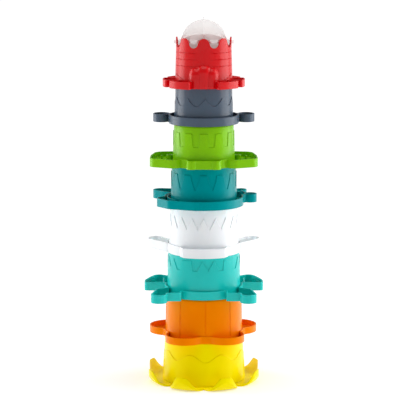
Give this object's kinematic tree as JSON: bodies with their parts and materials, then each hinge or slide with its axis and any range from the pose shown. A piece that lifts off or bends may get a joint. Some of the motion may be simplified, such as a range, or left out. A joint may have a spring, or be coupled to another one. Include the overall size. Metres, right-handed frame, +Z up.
{
  "type": "stacking cup tower",
  "caption": "Tower of graded stacking cups standing mouth down, each with a sea-creature flange round its mouth, topped by a crown with a clear water wheel that spins",
  "frame": {"origin": "on the tower's axis, in the plane that the lowest cup stands on", "axes": "+Z up along the tower's axis; -Y is the front, with the octopus head on the top cup; the water wheel's axle runs along X"},
  "size_m": [0.132, 0.1218, 0.402],
  "materials": {
    "yellow_plastic": "smooth moulded polypropylene, soft gloss",
    "orange_plastic": "smooth moulded polypropylene, soft gloss",
    "aqua_plastic": "smooth moulded polypropylene, soft gloss",
    "white_plastic": "smooth moulded polypropylene, soft gloss",
    "teal_plastic": "smooth moulded polypropylene, soft gloss",
    "green_plastic": "smooth moulded polypropylene, soft gloss",
    "gray_plastic": "smooth moulded polypropylene, soft gloss",
    "red_plastic": "smooth moulded polypropylene, soft gloss",
    "clear_plastic": "clear moulded plastic, polished"
  },
  "bodies": {
    "yellow_cup": {"yellow_cup": "yellow_plastic"},
    "orange_cup": {"orange_cup": "orange_plastic"},
    "aqua_cup": {"aqua_cup": "aqua_plastic"},
    "white_cup": {"white_cup": "white_plastic"},
    "teal_cup": {"teal_cup": "teal_plastic"},
    "green_cup": {"green_cup": "green_plastic"},
    "gray_cup": {"gray_cup": "gray_plastic"},
    "red_cup": {"red_cup": "red_plastic"},
    "water_wheel": {"water_wheel": "clear_plastic"}
  },
  "joints": [
    {"name": "orange_cup_lift", "type": "slide", "parent": "yellow_cup", "child": "orange_cup", "axis": [0, 0, 1], "range_m": [0, 0.06]},
    {"name": "aqua_cup_lift", "type": "slide", "parent": "orange_cup", "child": "aqua_cup", "axis": [0, 0, 1], "range_m": [0, 0.06]},
    {"name": "white_cup_lift", "type": "slide", "parent": "aqua_cup", "child": "white_cup", "axis": [0, 0, 1], "range_m": [0, 0.06]},
    {"name": "teal_cup_lift", "type": "slide", "parent": "white_cup", "child": "teal_cup", "axis": [0, 0, 1], "range_m": [0, 0.06]},
    {"name": "green_cup_lift", "type": "slide", "parent": "teal_cup", "child": "green_cup", "axis": [0, 0, 1], "range_m": [0, 0.06]},
    {"name": "gray_cup_lift", "type": "slide", "parent": "green_cup", "child": "gray_cup", "axis": [0, 0, 1], "range_m": [0, 0.06]},
    {"name": "red_cup_lift", "type": "slide", "parent": "gray_cup", "child": "red_cup", "axis": [0, 0, 1], "range_m": [0, 0.06]},
    {"name": "water_wheel_spin", "type": "hinge", "parent": "red_cup", "child": "water_wheel", "pos_m": [0, 0, 0.3755], "axis": [1, 0, 0], "continuous": true}
  ]
}
